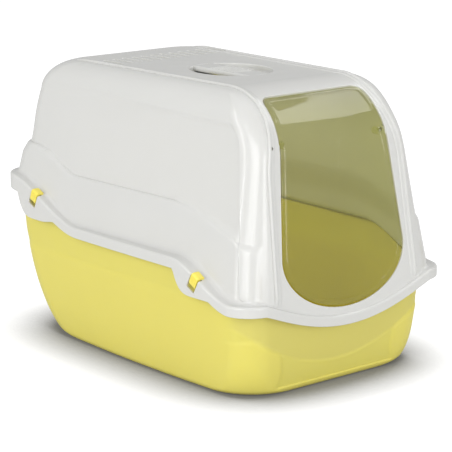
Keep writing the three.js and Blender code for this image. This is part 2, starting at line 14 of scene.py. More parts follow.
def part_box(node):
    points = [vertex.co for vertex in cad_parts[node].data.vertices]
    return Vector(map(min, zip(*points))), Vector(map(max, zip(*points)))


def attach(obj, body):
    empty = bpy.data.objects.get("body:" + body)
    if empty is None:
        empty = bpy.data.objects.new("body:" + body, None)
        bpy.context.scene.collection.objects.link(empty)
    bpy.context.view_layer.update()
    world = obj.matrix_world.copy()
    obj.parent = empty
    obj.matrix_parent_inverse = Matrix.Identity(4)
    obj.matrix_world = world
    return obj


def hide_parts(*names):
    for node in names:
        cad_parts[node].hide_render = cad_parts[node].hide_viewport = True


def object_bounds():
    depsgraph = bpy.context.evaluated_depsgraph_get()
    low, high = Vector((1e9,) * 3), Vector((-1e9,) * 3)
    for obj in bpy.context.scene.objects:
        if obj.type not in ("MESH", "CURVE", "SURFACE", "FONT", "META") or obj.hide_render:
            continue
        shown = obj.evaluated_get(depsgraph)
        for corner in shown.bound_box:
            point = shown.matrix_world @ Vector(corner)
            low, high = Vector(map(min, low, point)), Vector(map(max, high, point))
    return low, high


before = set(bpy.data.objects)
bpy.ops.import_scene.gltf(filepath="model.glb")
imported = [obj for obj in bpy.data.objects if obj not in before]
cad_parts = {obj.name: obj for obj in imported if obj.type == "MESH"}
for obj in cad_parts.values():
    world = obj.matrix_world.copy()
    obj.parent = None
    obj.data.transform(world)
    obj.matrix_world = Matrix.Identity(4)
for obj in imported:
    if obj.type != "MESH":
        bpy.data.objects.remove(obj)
cad_low, cad_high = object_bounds()
MM = 0.001

# ---------------------------------------------------------------- driving dimensions, mm
hood_low, hood_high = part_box("hood_shell")
LENGTH = 2 * round(hood_high.y / MM)
WIDTH = round((hood_high.x - hood_low.x) / MM)
RIDGE_H = 3.0
ROOF_Z = hood_high.z / MM - RIDGE_H
WALL = 2.6

RIM_SIDE_Z, RIM_REAR_Z, RIM_FRONT_Z, RIM_DIP_Z = 183, 237, 139, 103
RIM_CORNER_R = 45
SIDE_BULGE = 4
SKIRT_H, SKIRT_REAR_MORE = 15, 9
SKIRT_EDGE_R = 3.2
SHELF_FILLET = 6

ARC_R, ARC_Y = 100, -150
FRONT_LEAN, SIDE_LEAN, REAR_LEAN = math.radians(8.5), math.radians(9.5), math.radians(10)
HOOD_FOOT_HALF, HOOD_REAR_Y = 172, 275
SHOULDER_R, ROOF_HALF, ROOF_REAR_Y = 44, 110, 198
HOOD_FRONT_R, HOOD_REAR_R, HOOD_REAR_LOW_R, HOOD_BOW, HOOD_TAPER = 38, 42, 30, 2, 9
STEP_PROUD = 4
WAVE_Z, WAVE_RISE, WAVE_FALL = 249, 32, 35
WAVE_TOP, WAVE_ROUND, WAVE_ROUND_FRONT = 2.2, 4.6, 12
RIDGE_HALF, RIDGE_DRAW, RIDGE_ROOF_IN = 138, 0.04, 19
PANEL_DEPTH, PANEL_BEVEL = 1.6, 0.8
PANEL_FRONT_Y, PANEL_TOP_Z, PANEL_CORNER_R = -246, 368, 30
CORNER_STOPS, REAR_STOPS, FRONT_STOPS = 26, 44, 96
CORNER_BEVEL = (10 / CORNER_STOPS, 13 / CORNER_STOPS)

DOOR_TOP_S, DOOR_SHOULDER_S, DOOR_BOTTOM_S = 48.5, 278, 351
DOOR_TOP_HALF, DOOR_MAX_HALF, DOOR_TOP_R = 88, 110, 13
DOOR_T, DOOR_GAP = 2.6, 2.4
PIVOT_Y, PIVOT_Z = -235, 338
PIN_R = 2.4

LATCH_Y = (-184, 189)
LATCH_HALF_W = 7
LATCH_HINGE_IN, LATCH_HINGE_DOWN = 6.6, 15
LOBE_Z = (136, 177)
LOBE_HALF = 47

TRAY_HALF, TRAY_FRONT_Y, TRAY_REAR_Y = 168, -254, 262
FOOT_FRONT_R, FOOT_REAR_R, FOOT_ROUND = 44, 92, 9
FRONT_BALL_H, FRONT_BALL_MORE = 50, 42
REAR_ROUND_H, REAR_ROUND_IN = 110, 52
LIP_IN, LIP_T, LIP_H, RIM_GAP = 8, 3, 8, 2.2

VENTS, VENT_PITCH, VENT_W, VENT_L, VENT_Y = 13, 17.4, 5, 46, 133
HANDLE_Y, HANDLE_HALF_X, HANDLE_HALF_Y, HANDLE_DEPTH = -30, 56, 64, 10
BAR_HALF, BAR_T = 20, 8
FINGER_HALF_X, FINGER_HALF_Y = 53, 27

ARC_Z = ROOF_Z - ARC_R
TANGENT_Z = ARC_Z + ARC_R * math.sin(FRONT_LEAN)
TANGENT_Y = ARC_Y - ARC_R * math.cos(FRONT_LEAN)
SHOULDER_Z = ROOF_Z - SHOULDER_R


def smooth(a, b, value):
    t = np.clip((value - a) / (b - a), 0, 1)
    return t * t * (3 - 2 * t)


def lerp(a, b, t):
    return a + (b - a) * t


# ---------------------------------------------------------------- materials
def node(tree, kind, **values):
    made = tree.nodes.new(kind)
    for key, value in values.items():
        if key in made.inputs:
            made.inputs[key].default_value = value
        else:
            setattr(made, key, value)
    return made


def plastic(name, colour, roughness, tint=0.03, grain=0.02, grain_size=0.0006, wave=0.0, sheen_ior=1.48,
            scatter=0.0, scatter_colour=None, coat=0.0):
    """Moulded plastic: slight colour and gloss drift, a fine skin texture and long soft flow waves."""
    mat = bpy.data.materials.new(name)
    mat.use_nodes = True
    tree = mat.node_tree
    tree.nodes.clear()
    out = node(tree, "ShaderNodeOutputMaterial")
    shader = node(tree, "ShaderNodeBsdfPrincipled")
    shader.inputs["IOR"].default_value = sheen_ior
    shader.inputs["Coat Weight"].default_value = coat
    shader.inputs["Coat Roughness"].default_value = 0.08
    if scatter:
        shader.inputs["Subsurface Weight"].default_value = scatter
        shader.inputs["Subsurface Radius"].default_value = scatter_colour or (0.004, 0.004, 0.0035)
        shader.inputs["Subsurface Scale"].default_value = 1.0
    place = node(tree, "ShaderNodeTexCoord")
    link = tree.links.new
    drift = node(tree, "ShaderNodeTexNoise", Scale=7.0, Detail=3.0, Roughness=0.5)
    link(place.outputs["Object"], drift.inputs["Vector"])
    ramp = node(tree, "ShaderNodeValToRGB")
    ramp.color_ramp.elements[0].position = 0.3
    ramp.color_ramp.elements[1].position = 0.7
    low = [c * (1 - tint) for c in colour]
    high = [min(1, c * (1 + tint)) for c in colour]
    ramp.color_ramp.elements[0].color = (*low, 1)
    ramp.color_ramp.elements[1].color = (*high, 1)
    link(drift.outputs["Fac"], ramp.inputs["Fac"])
    link(ramp.outputs["Color"], shader.inputs["Base Color"])
    gloss = node(tree, "ShaderNodeTexNoise", Scale=40.0, Detail=4.0, Roughness=0.6)
    link(place.outputs["Object"], gloss.inputs["Vector"])
    spread = node(tree, "ShaderNodeMapRange")
    spread.inputs["To Min"].default_value = roughness * 0.86
    spread.inputs["To Max"].default_value = roughness * 1.14
    link(gloss.outputs["Fac"], spread.inputs["Value"])
    link(spread.outputs["Result"], shader.inputs["Roughness"])
    skin = node(tree, "ShaderNodeTexNoise", Scale=1 / grain_size, Detail=2.0, Roughness=0.5)
    link(place.outputs["Object"], skin.inputs["Vector"])
    bump = node(tree, "ShaderNodeBump")
    bump.inputs["Strength"].default_value = grain
    bump.inputs["Distance"].default_value = 0.0003
    link(skin.outputs["Fac"], bump.inputs["Height"])
    normal = bump.outputs["Normal"]
    if wave:
        flow = node(tree, "ShaderNodeTexNoise", Scale=9.0, Detail=1.0, Roughness=0.4)
        link(place.outputs["Object"], flow.inputs["Vector"])
        ripple = node(tree, "ShaderNodeBump")
        ripple.inputs["Strength"].default_value = wave
        ripple.inputs["Distance"].default_value = 0.01
        link(flow.outputs["Fac"], ripple.inputs["Height"])
        link(normal, ripple.inputs["Normal"])
        normal = ripple.outputs["Normal"]
    link(normal, shader.inputs["Normal"])
    link(shader.outputs["BSDF"], out.inputs["Surface"])
    return mat


def tinted(name, colour, see_through, share, roughness):
    """Smoky see-through plastic: a glossy tinted skin mixed with a coloured clear body."""
    mat = plastic(name, colour, roughness, tint=0.02, grain=0.01, wave=0.05, sheen_ior=1.5)
    tree = mat.node_tree
    shader = next(n for n in tree.nodes if n.type == "BSDF_PRINCIPLED")
    out = next(n for n in tree.nodes if n.type == "OUTPUT_MATERIAL")
    clear = node(tree, "ShaderNodeBsdfTransparent")
    clear.inputs["Color"].default_value = (*see_through, 1)
    mix = node(tree, "ShaderNodeMixShader")
    mix.inputs["Fac"].default_value = share
    tree.links.new(shader.outputs["BSDF"], mix.inputs[1])
    tree.links.new(clear.outputs["BSDF"], mix.inputs[2])
    skin = node(tree, "ShaderNodeBsdfGlossy")
    skin.inputs["Roughness"].default_value = roughness
    facing = node(tree, "ShaderNodeFresnel")
    facing.inputs["IOR"].default_value = 1.46
    surface = node(tree, "ShaderNodeNewGeometry")
    outer = node(tree, "ShaderNodeMath", operation="SUBTRACT")
    outer.inputs[0].default_value = 1
    tree.links.new(surface.outputs["Backfacing"], outer.inputs[1])
    amount = node(tree, "ShaderNodeMath", operation="MULTIPLY")
    tree.links.new(facing.outputs["Fac"], amount.inputs[0])
    tree.links.new(outer.outputs["Value"], amount.inputs[1])
    topped = node(tree, "ShaderNodeMixShader")
    tree.links.new(amount.outputs["Value"], topped.inputs["Fac"])
    tree.links.new(mix.outputs["Shader"], topped.inputs[1])
    tree.links.new(skin.outputs["BSDF"], topped.inputs[2])
    tree.links.new(topped.outputs["Shader"], out.inputs["Surface"])
    return mat


def fleece(name):
    """Open black carbon fleece: a coarse fibrous cell texture, quite matt."""
    return plastic(name, (0.03, 0.03, 0.032), 0.92, tint=0.4, grain=0.9, grain_size=0.0025)


WHITE = plastic("hood_white", (0.65, 0.65, 0.63), 0.25, tint=0.006, grain=0.012, wave=0.03,
                scatter=0.25, scatter_colour=(0.004, 0.004, 0.0036), coat=0.15)
YELLOW = plastic("tray_yellow", (0.75, 0.66, 0.14), 0.5, tint=0.012, grain=0.05, wave=0.05,
                 scatter=0.3, scatter_colour=(0.010, 0.009, 0.004))
CLIP = plastic("clip_yellow", (0.90, 0.77, 0.12), 0.3, tint=0.015, grain=0.02)
FILTER_YELLOW = plastic("filter_yellow", (0.66, 0.66, 0.25), 0.5, tint=0.02, grain=0.05)
TINT = tinted("door_tint", (0.46, 0.46, 0.20), (0.95, 0.955, 0.77), 0.9, 0.05)
CARBON = fleece("filter_black")


# ---------------------------------------------------------------- mesh helpers
def new_object(name, points, faces, material):
    """A mesh object from points in mm."""
    mesh = bpy.data.meshes.new(name)
    mesh.from_pydata((np.asarray(points, float) * MM).tolist(), [], faces)
    mesh.validate()
    obj = bpy.data.objects.new(name, mesh)
    bpy.context.scene.collection.objects.link(obj)
    if material:
        mesh.materials.append(material)
    return obj


def ring_faces(levels, around):
    """Quads between neighbouring closed rings, each of the same number of points."""
    index = np.arange(levels * around).reshape(levels, around)
    right = np.roll(index, -1, axis=1)
    quads = np.stack([index[:-1], right[:-1], right[1:], index[1:]], axis=-1)
    return quads.reshape(-1, 4).tolist()


def loft(name, rings, material, start=None, end=None):
    """Closed solid through rings of shape (levels, around, 3), closed by a point or a flat face."""
    rings = np.asarray(rings, float)
    levels, around = rings.shape[:2]
    points = rings.reshape(-1, 3)
    faces = ring_faces(levels, around)
    first = np.arange(around)
    last = (levels - 1) * around + first
    if start is None:
        faces.append(first[::-1].tolist())
    else:
        points = np.vstack([points, start])
        tip = len(points) - 1
        faces += [[tip, int(b), int(a)] for a, b in zip(first, np.roll(first, -1))]
    if end is None:
        faces.append(last.tolist())
    else:
        points = np.vstack([points, end])
        tip = len(points) - 1
        faces += [[int(a), int(b), tip] for a, b in zip(last, np.roll(last, -1))]
    obj = new_object(name, points, faces, material)
    face_outwards(obj)
    return obj


def face_outwards(obj):
    """Turns a closed mesh so that its faces point out, by the sign of its volume."""
    mesh = obj.data
    mesh.calc_loop_triangles()
    corners = np.zeros(len(mesh.loop_triangles) * 3, np.int32)
    mesh.loop_triangles.foreach_get("vertices", corners)
    co = np.zeros(len(mesh.vertices) * 3)
    mesh.vertices.foreach_get("co", co)
    a, b, c = co.reshape(-1, 3)[corners.reshape(-1, 3)].transpose(1, 0, 2)
    if np.einsum("ij,ij->i", a, np.cross(b, c)).sum() < 0:
        mesh.flip_normals()


def combine(obj, other, operation):
    """Joins other to obj or cuts it away; other is used up."""
    step = obj.modifiers.new("combine", "BOOLEAN")
    step.operation = operation
    step.solver = "MANIFOLD"
    step.object = other
    bpy.context.view_layer.update()
    dg = bpy.context.evaluated_depsgraph_get()
    made = bpy.data.meshes.new_from_object(obj.evaluated_get(dg))
    if len(made.polygons) == 0:
        raise RuntimeError(f"boolean of {obj.name} with {other.name} failed")
    made.polygons.foreach_set("material_index", [0] * len(made.polygons))
    while len(made.materials) > 1:
        made.materials.pop()
    obj.modifiers.clear()
    old = obj.data
    obj.data = made
    bpy.data.meshes.remove(old)
    bpy.data.objects.remove(other)


def finish_shading(obj, angle=35):
    obj.data.shade_smooth()
    obj.data.set_sharp_from_angle(angle=math.radians(angle))
    weigh = obj.modifiers.new("weigh", "WEIGHTED_NORMAL")
    weigh.keep_sharp = True
    weigh.weight = 60


def rounded_box(name, low, high, radius, material=None, steps=3):
    """Box with every edge rounded, as one closed mesh."""
    low, high = np.array(low, float), np.array(high, float)
    centre, half = (low + high) / 2, (high - low) / 2
    radius = min(radius, half.min() * 0.98)
    side = 2 * steps + 2
    cells = {}
    points = []
    faces = []

    def place(i, j, k):
        key = (i, j, k)
        if key not in cells:
            cells[key] = len(points)
            at = np.array(key)
            block = np.where(at <= steps, -1.0, 1.0)
            angle = np.where(at <= steps, steps - at, at - steps - 1) / steps
            direction = block * np.tan(angle * math.pi / 4)
            direction /= max(1e-9, np.linalg.norm(direction))
            points.append(centre + block * (half - radius) + direction * radius)
        return cells[key]

    last = side - 1
    for axis in range(3):
        for end in (0, last):
            for a in range(last):
                for b in range(last):
                    corners = [(a, b), (a + 1, b), (a + 1, b + 1), (a, b + 1)]
                    ids = []
                    for p, q in corners:
                        at = [p, q]
                        at.insert(axis, end)
                        ids.append(place(*at))
                    if (end == 0) != (axis == 1):
                        ids.reverse()
                    faces.append(ids)
    return new_object(name, points, faces, material)


def rod(name, radius, start, end, sides=28, edge=0.3):
    """Round bar between two points, its ends slightly chamfered."""
    start, end = np.array(start, float), np.array(end, float)
    axis = (end - start) / np.linalg.norm(end - start)
    helper = np.array([0, 0, 1.0]) if abs(axis[2]) < 0.9 else np.array([1.0, 0, 0])
    u = np.cross(axis, helper)
    u /= np.linalg.norm(u)
    v = np.cross(axis, u)
    turn = np.linspace(0, 2 * math.pi, sides, endpoint=False)
    circle = np.cos(turn)[:, None] * u + np.sin(turn)[:, None] * v
    rings = [
        start + circle * (radius - edge),
        start + axis * edge + circle * radius,
        end - axis * edge + circle * radius,
        end + circle * (radius - edge),
    ]
    return loft(name, rings, None)


def transformed(obj, matrix):
    obj.data.transform(matrix)
    return obj


# ---------------------------------------------------------------- plan outline
SIDE_STOPS = np.concatenate([
    np.linspace(0, 0.075, 26)[:-1], np.linspace(0.075, 0.925, 120), np.linspace(0.925, 1, 26)[1:]])


def stations():
    """Stations counter-clockwise from the front end of the right side: kind, signs and place."""
    corner = np.linspace(0, 1, CORNER_STOPS + 1)[:-1]
    rear_end = np.linspace(0, 1, REAR_STOPS + 1)[:-1]
    front_end = np.linspace(0, 1, FRONT_STOPS + 1)[:-1]
    rows = [(0, 1, 0, t) for t in SIDE_STOPS[:-1]]
    rows += [(1, 1, 1, t) for t in corner]
    rows += [(2, 0, 1, t) for t in rear_end]
    rows += [(1, -1, 1, t) for t in corner]
    rows += [(0, -1, 0, t) for t in (1 - SIDE_STOPS)[::-1][:-1]]
    rows += [(1, -1, -1, t) for t in corner]
    rows += [(2, 0, -1, t) for t in front_end]
    rows += [(1, 1, -1, t) for t in corner]
    kind, sx, sy, t = np.array(rows).T
    return kind, sx, sy, t


AROUND = stations()


def outline(shape, around=AROUND):
    """x and y of a rounded rectangle at every station; the shape's sizes may vary by station."""
    kind, sx, sy, t = around
    half, front, rear = shape["half"], shape["front"], shape["rear"]
    frx, fry, rrx, rry = shape["frx"], shape["fry"], shape["rrx"], shape["rry"]
    low, high = front + fry, rear - rry
    run = np.where(sx > 0, t, 1 - t)
    side_x = sx * (half + shape.get("bulge", 0) * 4 * run * (1 - run))
    side_y = lerp(low, high, run)
    rx, ry = np.where(sy > 0, rrx, frx), np.where(sy > 0, rry, fry)
    end = np.where(sy > 0, rear, front)
    turn = np.where(sx * sy > 0, t, 1 - t) * math.pi / 2
    corner_x = sx * (half - rx + rx * np.cos(turn))
    corner_y = end - sy * ry * (1 - np.sin(turn))
    end_x = sy * lerp(half - rx, rx - half, t)
    x = np.where(kind == 0, side_x, np.where(kind == 1, corner_x, end_x))
    y = np.where(kind == 0, side_y, np.where(kind == 1, corner_y, end))
    return x * (1 + shape.get("taper", 0) * y / (LENGTH / 2) / half), y


# ---------------------------------------------------------------- rim line
def skirt_shape(inset):
    r = RIM_CORNER_R - inset
    return {"half": WIDTH / 2 - SIDE_BULGE - inset, "front": -LENGTH / 2 + inset, "rear": LENGTH / 2 - inset,
            "frx": r, "fry": r, "rrx": r, "rry": r, "bulge": SIDE_BULGE}


def side_rim(y):
    return (RIM_SIDE_Z + (RIM_REAR_Z - RIM_SIDE_Z) * smooth(85, 262, y)
            - (RIM_SIDE_Z - RIM_FRONT_Z) * smooth(130, 252, -y))


def rim_height(x, y):
    reach = (WIDTH / 2 - RIM_CORNER_R) * 1.02
    dip = np.maximum(0, 1 - (x / reach) ** 2) ** 1.15 * smooth(205, 262, -y)
    return side_rim(y) - (RIM_FRONT_Z - RIM_DIP_Z) * dip


def on_rim(shape_at, drop, around=AROUND):
    """Ring on a shape that may change with height, drop below the rim line."""
    z = np.full(around[0].shape, float(RIM_SIDE_Z))
    for _ in range(4):
        x, y = outline(shape_at(z), around)
        z = rim_height(x, y) - drop
    return np.stack([x, y, z], axis=-1)


def skirt_low(ring):
    """Height of the skirt's lower edge for points of a rim ring, with a lobe over each latch."""
    x, y, z = ring.T
    low = z - SKIRT_H - SKIRT_REAR_MORE * smooth(150, 262, y)
    for centre, bottom in zip(LATCH_Y, LOBE_Z):
        across = np.abs(y - centre) / LOBE_HALF
        hang = np.maximum(0, low - bottom) * (1 - np.minimum(across, 1) ** 4)
        low = low - np.where(across < 1, hang, 0)
    return low


# ---------------------------------------------------------------- hood surface
def wave_round(y):
    """Height over which the wave step rounds over; softer on the front columns."""
    return lerp(WAVE_ROUND, WAVE_ROUND_FRONT, smooth(215, 250, -y))


def wave_z(y):
    return WAVE_Z + WAVE_RISE * smooth(115, 225, y) - WAVE_FALL * smooth(100, 262, -y)


def hood_shape(z, inset):
    z = np.asarray(z, float)
    panel = HOOD_FOOT_HALF - (z - RIM_SIDE_Z) * math.tan(SIDE_LEAN)
    panel_top = HOOD_FOOT_HALF - (SHOULDER_Z - RIM_SIDE_Z) * math.tan(SIDE_LEAN)
    up = np.clip((z - SHOULDER_Z) / SHOULDER_R, 0, 1)
    bend = np.sqrt(1 - up * up)
    half = np.where(z < SHOULDER_Z, panel, ROOF_HALF + (panel_top - ROOF_HALF) * bend)
    arc = ARC_Y - np.sqrt(np.maximum(0, ARC_R ** 2 - (z - ARC_Z) ** 2))
    front = np.where(z < TANGENT_Z, TANGENT_Y - (TANGENT_Z - z) * math.tan(FRONT_LEAN), arc)
    rear_top = HOOD_REAR_Y - (SHOULDER_Z - RIM_REAR_Z) * math.tan(REAR_LEAN)
    rear = np.where(z < SHOULDER_Z, HOOD_REAR_Y - (z - RIM_REAR_Z) * math.tan(REAR_LEAN),
                    ROOF_REAR_Y + (rear_top - ROOF_REAR_Y) * bend)
    ridge = ridge_half(z)
    frx = np.maximum(3, half - ridge)
    fry = lerp(HOOD_FRONT_R, 14, smooth(370, ROOF_Z, z))
    rear_r = (lerp(HOOD_REAR_LOW_R, HOOD_REAR_R, smooth(265, 285, z)) - 8 * smooth(285, 340, z)
              + 10 * smooth(350, ROOF_Z, z))
    return {"half": half - inset, "front": front + inset, "rear": rear - inset,
            "frx": np.maximum(1, frx - inset), "fry": np.maximum(1, fry - inset),
            "rrx": np.maximum(1, rear_r - inset), "rry": np.maximum(1, rear_r - inset),
            "bulge": HOOD_BOW, "taper": HOOD_TAPER}


def ridge_half(z):
    return RIDGE_HALF - (z - RIM_FRONT_Z) * RIDGE_DRAW - RIDGE_ROOF_IN * smooth(300, ROOF_Z, z)


def panel_edge_y(z):
    """Front edge of the recessed side panel at height z, with its rounded upper corner."""
    below = np.clip(PANEL_TOP_Z - z, 0, PANEL_CORNER_R)
    bend = PANEL_CORNER_R - np.sqrt(PANEL_CORNER_R ** 2 - (PANEL_CORNER_R - below) ** 2)
    return PANEL_FRONT_Y + 0.2 * (z - 163) + bend


def panel_relief(y, z):
    """How far the side panel lies behind the columns; it dies away towards the rear."""
    top = PANEL_TOP_Z + 8 * smooth(-180, 120, y)
    return (PANEL_DEPTH * smooth(-PANEL_BEVEL, PANEL_BEVEL, y - panel_edge_y(z))
            * smooth(0, 7, top - z) * (1 - smooth(40, 230, y)))


def step_depth(around):
    """Depth of the wave step at every station: it ends at the front ridges."""
    x, y = outline(hood_shape(RIM_SIDE_Z, 0), around)
    return np.where(y < 0, STEP_PROUD * smooth(RIDGE_HALF - 2, RIDGE_HALF + 12, np.abs(x)), STEP_PROUD)


def with_panel_edge(around, z, shape):
    """The same stations, with those of the front corners drawn to both sides of the panel's edge."""
    kind, sx, sy, t = around
    front_corner = (kind == 1) & (sy < 0)
    turn = np.where(sx * sy > 0, t, 1 - t)
    edges = []
    for side in (PANEL_BEVEL, -PANEL_BEVEL):
        sine = 1 - (panel_edge_y(z) + side - shape["front"]) / shape["fry"]
        edges.append(np.arcsin(np.clip(sine, 0.02, 0.98)) / (math.pi / 2))
    low, high = edges
    a, b = CORNER_BEVEL
    moved = np.where(turn < a, turn / a * low,
                     np.where(turn > b, high + (turn - b) / (1 - b) * (1 - high),
                              low + (turn - a) / (b - a) * (high - low)))
    turn = np.where(front_corner, moved, turn)
    return kind, sx, sy, np.where(sx * sy > 0, turn, 1 - turn)


def hood_ring(z, inset, around=AROUND, relief=True):
    """Ring of the hood's wall at heights z, with its wave step and panel recess."""
    shape = hood_shape(z, inset)
    step = step_depth(around)
    if relief:
        around = with_panel_edge(around, z, shape)
    x, y = outline(shape, around)
    under = np.clip((wave_z(y) + WAVE_TOP - z) / wave_round(y), 0, 1)
    ledge = np.sqrt(1 - (1 - under) ** 2)
    ledge = lerp(ledge, smooth(0, 1, under), smooth(215, 250, -y))
    if inset > 0:
        ledge = smooth(4, 44, wave_z(y) - z)
    draw = inset - step * ledge
    if relief:
        side = (around[0] == 0) | (around[0] == 1)
        draw = draw + np.where(side, panel_relief(y, z), 0)
    x, y = outline(hood_shape(z, draw), around)
    return np.stack([x, y, z + 0 * x], axis=-1)


def shell_rings(around, wall_levels, arc_levels, inset, relief):
    """Rings from the wall's foot on the shelf up to the edge of the roof."""
    drop = WALL if inset > 0 else 0
    step = step_depth(around)
    foot = on_rim(lambda z: hood_shape(z, inset - step), drop, around)
    base = foot[:, 2] + SHELF_FILLET
    along = outline(hood_shape(RIM_SIDE_Z, 0), around)[1]
    crest, bend = wave_z(along) + WAVE_TOP, wave_round(along)
    heights = [lerp(base, crest - bend, t) for t in np.linspace(0, 1, wall_levels)[:-1]]
    heights += [crest - bend * d for d in (1, 0.75, 0.5, 0.3, 0.16, 0.07, 0.02, 0)]
    heights += [lerp(crest, TANGENT_Z, t) for t in np.linspace(0, 1, wall_levels)[1:]]
    rings = [hood_ring(z, inset, around, relief) for z in heights]
    lean = FRONT_LEAN
    for angle in np.linspace(lean, math.pi / 2, arc_levels)[1:]:
        rise = (math.sin(angle) - math.sin(lean)) / (1 - math.sin(lean))
        z = TANGENT_Z + (ROOF_Z - TANGENT_Z) * rise
        ring = hood_ring(np.full(foot[:, 2].shape, z), inset, around, relief)
        ring[:, 2] -= drop * rise
        rings.append(ring)
    return foot, rings


def bezier(a, b, c, steps):
    """Rings from a to c, drawn towards b; both ends left out."""
    return [(1 - t) ** 2 * a + 2 * t * (1 - t) * b + t * t * c for t in np.linspace(0, 1, steps + 2)[1:-1]]


def hood_shell():
    """The hood's closed shell: inner roof, inner wall, rolled skirt edge, outer wall, outer roof."""
    around = AROUND
    foot, wall = shell_rings(around, 16, 44, 0, True)
    in_foot, in_wall = shell_rings(around, 10, 14, WALL, False)
    rings = list(reversed(in_wall))
    in_shelf = on_rim(lambda z: skirt_shape(WALL + 2), WALL, around)
    rings += bezier(in_wall[0], in_foot, lerp(in_foot, in_shelf, 0.35), 2)
    rings += [lerp(in_foot, in_shelf, 0.35), in_shelf]
    in_skirt = on_rim(lambda z: skirt_shape(WALL), WALL + 2.5, around)
    rings.append(in_skirt)
    outer_edge = on_rim(lambda z: skirt_shape(0), 0, around)
    low = skirt_low(outer_edge)
    round_r = WALL / 2
    for turn in np.linspace(0, math.pi, 7):
        ring = on_rim(lambda z: skirt_shape(round_r + round_r * math.cos(turn)), 0, around)
        ring[:, 2] = low + round_r - round_r * math.sin(turn)
        rings.append(ring)
    top = outer_edge[:, 2] - SKIRT_EDGE_R
    for t in (0.2, 0.5, 0.8):
        ring = outer_edge.copy()
        ring[:, 2] = lerp(low + round_r, top, t)
        rings.append(ring)
    for turn in np.linspace(0, math.pi / 2, 6):
        inset = SKIRT_EDGE_R * (1 - math.cos(turn))
        rings.append(on_rim(lambda z: skirt_shape(inset), SKIRT_EDGE_R * (1 - math.sin(turn)), around))
    shelf = rings[-1]
    reach = np.linalg.norm((foot - shelf)[:, :2], axis=1, keepdims=True)
    start = foot + (shelf - foot) * np.minimum(SHELF_FILLET / np.maximum(reach, 1e-6), 0.8)
    start[:, 2] = rim_height(start[:, 0], start[:, 1])
    rings += [lerp(shelf, start, 0.5), start]
    rings += bezier(start, foot, wall[0], 4)
    rings += wall
    return loft("hood_shell_skin", rings, WHITE)


def profile(s, off):
    """y and z on roof, arc and front by arc length s from the start of the arc; off moves outwards."""
    s, off = np.broadcast_arrays(np.asarray(s, float), np.asarray(off, float))
    turn = np.clip(s / ARC_R, 0, math.pi / 2 - FRONT_LEAN)
    rest = np.maximum(0, s - turn * ARC_R)
    r = ARC_R + off
    y = ARC_Y - r * np.sin(turn) - rest * math.sin(FRONT_LEAN) - np.minimum(s, 0)
    z = ARC_Z + r * np.cos(turn) - rest * math.cos(FRONT_LEAN)
    return y, z


RIDGE_SECTION = [(0, -1.4), (0, 1.6), (0.4, 2.5), (1.2, RIDGE_H), (3.4, RIDGE_H), (4.2, 2.6), (4.8, 1.6),
                 (5.6, 1.25), (9.4, 1.2), (10.4, 1.0), (11.2, 0.1), (11.6, -1.4)]


def ridge(side):
    """Stepped ridge along one side of the roof, round the arc and down the front."""
    stops = np.concatenate([np.linspace(-338, -6, 40), np.linspace(0, 145, 60), np.linspace(150, 334, 50)])
    rings = []
    for k, s in enumerate(stops):
        y0, z0 = profile(s, 0)
        shape = hood_shape(z0, 0)
        edge = (shape["half"] - shape["frx"]) * (1 + HOOD_TAPER * y0 / (LENGTH / 2) / shape["half"])
        fade = min(1, (k + 0.3) / 3, (len(stops) - k - 0.7) / 3)
        ring = []
        for across, up in RIDGE_SECTION:
            y, z = profile(s, up * fade if up > 0 else up)
            ring.append((side * (edge - across), y, z))
        rings.append(ring)
    return loft("ridge", rings, None)


# ---------------------------------------------------------------- door
def door_half(s):
    t = np.clip((s - DOOR_TOP_S) / (DOOR_SHOULDER_S - DOOR_TOP_S), 0, 1)
    half = lerp(DOOR_TOP_HALF, DOOR_MAX_HALF, t)
    down = np.clip((s - DOOR_SHOULDER_S) / (DOOR_BOTTOM_S - DOOR_SHOULDER_S), 0, 1)
    half = half * np.sqrt(1 - down * down)
    corner = np.clip(1 - (s - DOOR_TOP_S) / DOOR_TOP_R, 0, 1)
    return half - DOOR_TOP_R * (1 - np.sqrt(1 - corner * corner))


def door_loop(count=260):
    """The door's outline as (x, s), evenly spaced, closed, counter-clockwise seen from outside."""
    down = np.sin(np.linspace(0, math.pi / 2, 60))
    s = np.concatenate([
        DOOR_TOP_S + DOOR_TOP_R * (1 - np.cos(np.linspace(0, math.pi / 2, 14)))[:-1],
        np.linspace(DOOR_TOP_S + DOOR_TOP_R, DOOR_SHOULDER_S, 60)[:-1],
        DOOR_SHOULDER_S + (DOOR_BOTTOM_S - DOOR_SHOULDER_S) * down])
    half = door_half(s)
    loop = np.concatenate([np.stack([half, s], -1), np.stack([-half, s], -1)[::-1][1:]])
    loop = np.vstack([loop, loop[:1]])
    run = np.concatenate([[0], np.cumsum(np.linalg.norm(np.diff(loop, axis=0), axis=1))])
    at = np.linspace(0, run[-1], count, endpoint=False)
    return np.stack([np.interp(at, run, loop[:, 0]), np.interp(at, run, loop[:, 1])], -1)


def grown(loop, by):
    """A closed loop moved outwards by that much, along its own normals."""
    ahead, behind = np.roll(loop, -1, axis=0), np.roll(loop, 1, axis=0)
    along = ahead - behind
    along /= np.linalg.norm(along, axis=1, keepdims=True)
    outwards = np.stack([along[:, 1], -along[:, 0]], -1)
    centre = loop.mean(axis=0)
    if ((loop - centre) * outwards).sum() < 0:
        outwards = -outwards
    return loop + outwards * by


def on_profile(loop, off):
    y, z = profile(loop[:, 1], off)
    return np.stack([loop[:, 0] + 0 * y, y, z], -1)


def spread_in(loop, steps):
    """Loops from this one in to a short spine along the middle."""
    spine = np.stack([0 * loop[:, 0], np.clip(loop[:, 1], 130, 260)], -1)
    return [lerp(loop, spine, t) for t in np.linspace(0, 1, steps + 1)[1:-1]]


